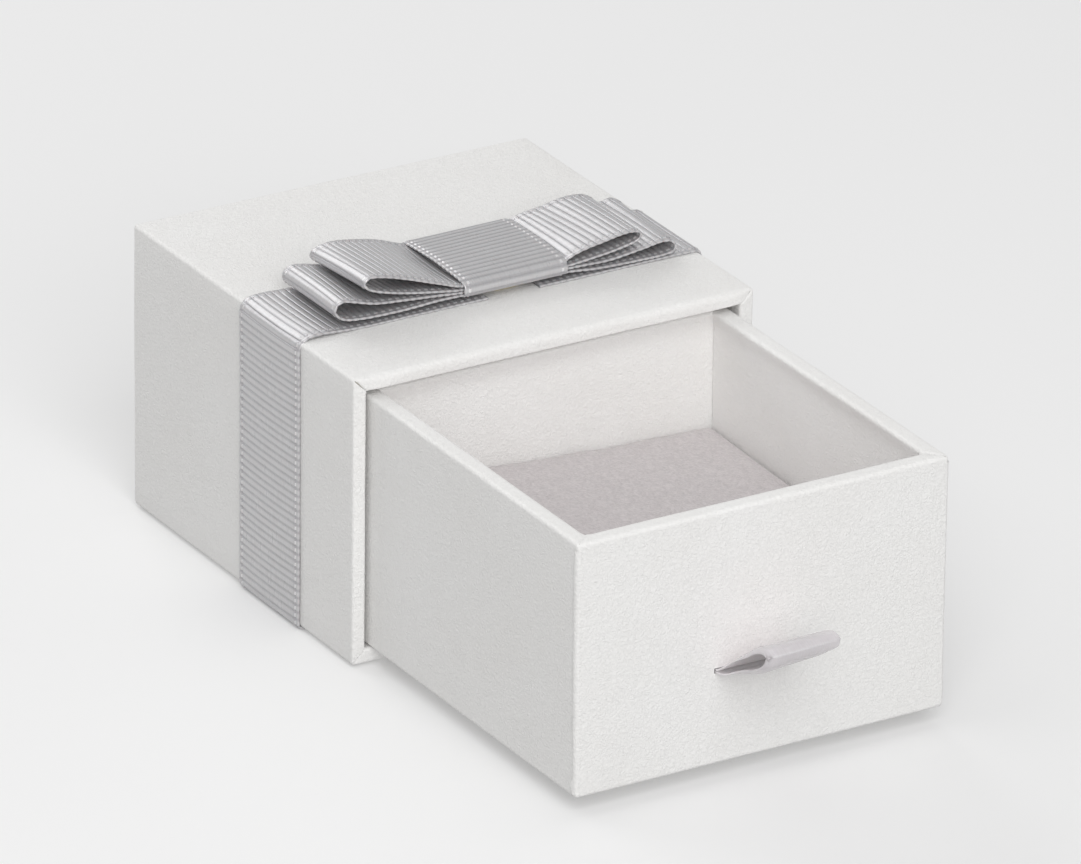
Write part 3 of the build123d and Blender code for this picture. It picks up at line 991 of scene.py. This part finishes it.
def puffed(points, faces, frames=20, enlarged=10):
    """The velvet after a short cloth simulation, with the foam pressing out against it.

    The cloth is a little too large for the block, so it takes up faint creases. It is simulated
    enlarged, because the solver is made for things the size of clothes.
    """
    trial = add_mesh("pad_trial", points * enlarged, faces)
    held = trial.vertex_groups.new(name="held")
    held_below = points[:, 2].min() + 2.0
    held.add([k for k, p in enumerate(points) if p[2] < held_below], 1.0, "REPLACE")
    cloth = trial.modifiers.new("cloth", "CLOTH")
    cloth.settings.quality = 5
    cloth.settings.mass = 0.2
    cloth.settings.tension_stiffness = 12
    cloth.settings.compression_stiffness = 12
    cloth.settings.shear_stiffness = 4
    cloth.settings.bending_stiffness = 1.5
    cloth.settings.shrink_min = -0.012
    cloth.settings.use_pressure = True
    cloth.settings.uniform_pressure_force = 0.4
    cloth.settings.vertex_group_mass = "held"
    cloth.settings.effector_weights.gravity = 0
    cloth.point_cache.frame_start = 1
    cloth.point_cache.frame_end = frames
    for frame_number in range(1, frames + 1):
        bpy.context.scene.frame_set(frame_number)
    settled = trial.evaluated_get(bpy.context.evaluated_depsgraph_get())
    flat = np.zeros(len(points) * 3)
    settled.data.vertices.foreach_get("co", flat)
    bpy.context.scene.frame_set(1)
    bpy.data.objects.remove(trial)
    return flat.reshape(-1, 3) / MM / enlarged


pad_points, pad_faces = rounded_block(pad_low, pad_high, radius=1.1, spacing=1.0)
pad_points = crooked(pad_points, pad_low, pad_high)
move = puffed(pad_points, pad_faces) - pad_points
move[:, :2] = np.clip(move[:, :2], -SIDEWAYS_LIMIT, SIDEWAYS_LIMIT)
move[:, 2] = np.clip(move[:, 2], -SINK_LIMIT, RISE_LIMIT)
pad_points = pad_points + move
pad = add_mesh("ring_pad", pad_points, pad_faces)
dress(pad, "velvet")
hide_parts("pad_foam", "pad_velvet_cover")
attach(pad, "drawer")


# ---- what is carried over from CAD ------------------------------------------------------

CARRIED = {
    "greyboard": [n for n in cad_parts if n.endswith("_board")],
    "lining_paper": ["sleeve_lining_paper", "drawer_floor_paper", "pull_ribbon_patch"],
    "hot_melt": ["bow_glue_pad"],
}
for finish, nodes in CARRIED.items():
    for node in nodes:
        dress(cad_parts[node], finish)


# ---- floor, light and camera ------------------------------------------------------------

FLOOR_HALF = 4000            # half its side
floor_corners = [(x * FLOOR_HALF, y * FLOOR_HALF, 0) for x, y in ((-1, -1), (1, -1), (1, 1), (-1, 1))]
floor = add_mesh("floor", floor_corners, [(0, 1, 2, 3)])
floor_surface = Surface("floor", Roughness=0.9, Base_Color=(0.96, 0.96, 0.96, 1), Specular_IOR_Level=0.1)
floor.data.materials.append(floor_surface.material)
floor.visible_diffuse = False         # a choice of lighting: the box gets no light off the floor

WORLD_LIGHT = 0.475          # even light from all round, also in place of the floor's
LIGHTS_AIM = Vector((0, -0.02, 0.02))
# name: (place, width, height, watts); these and the aim are in metres
SOFTBOXES = {
    "key": ((-0.30, -0.75, 0.70), 0.7, 0.7, 3.95),
    "front": ((-0.25, -0.95, 0.35), 0.7, 0.5, 1.8),
    "over": ((-0.05, 0.15, 1.0), 0.8, 0.8, 0.5),
    "back": ((-0.15, 0.78, 0.52), 1.0, 0.45, 2.3),
}


def softbox(name, place, width, height, power):
    """A rectangular studio light, aimed at the box."""
    light = bpy.data.lights.new(name, "AREA")
    light.shape = "RECTANGLE"
    light.size = width
    light.size_y = height
    light.energy = power
    made = bpy.data.objects.new(name, light)
    bpy.context.scene.collection.objects.link(made)
    made.location = place
    made.rotation_euler = (LIGHTS_AIM - Vector(place)).to_track_quat("-Z", "Y").to_euler()


for name, settings in SOFTBOXES.items():
    softbox(name, *settings)

world = bpy.data.worlds.new("studio")
world.use_nodes = True
world.node_tree.nodes["Background"].inputs["Color"].default_value = (1, 1, 1, 1)
world.node_tree.nodes["Background"].inputs["Strength"].default_value = WORLD_LIGHT
bpy.context.scene.world = world
bpy.context.scene.view_settings.view_transform = "Standard"

# A long lens, fitted so that the box stands in the frame as in the product shot. Angles are in
# degrees, lengths in millimetres.
PITCH, YAW, ROLL = (math.radians(a) for a in (24.319, -31.113, 0.678))
LENS = 406.16
DISTANCE = 1533.4
ASIDE, ABOVE = -1.452, 23.309
AIM = Vector((0.0, -20.5, 0.4))
back = Vector((math.sin(YAW) * math.cos(PITCH), -math.cos(YAW) * math.cos(PITCH), math.sin(PITCH)))
level_right = Vector((math.cos(YAW), math.sin(YAW), 0))
level_up = back.cross(level_right)
right = math.cos(ROLL) * level_right + math.sin(ROLL) * level_up
up = -math.sin(ROLL) * level_right + math.cos(ROLL) * level_up
camera_data = bpy.data.cameras.new("camera")
camera_data.sensor_width = 36
camera_data.lens = LENS
camera_data.clip_start = 0.1
camera_data.clip_end = 20
camera = bpy.data.objects.new("camera", camera_data)
bpy.context.scene.collection.objects.link(camera)
place = (AIM + back * DISTANCE + right * ASIDE + up * ABOVE) * MM
axes = Matrix((right, up, back)).transposed().to_4x4()
camera.matrix_world = Matrix.Translation(place) @ axes
bpy.context.scene.camera = camera
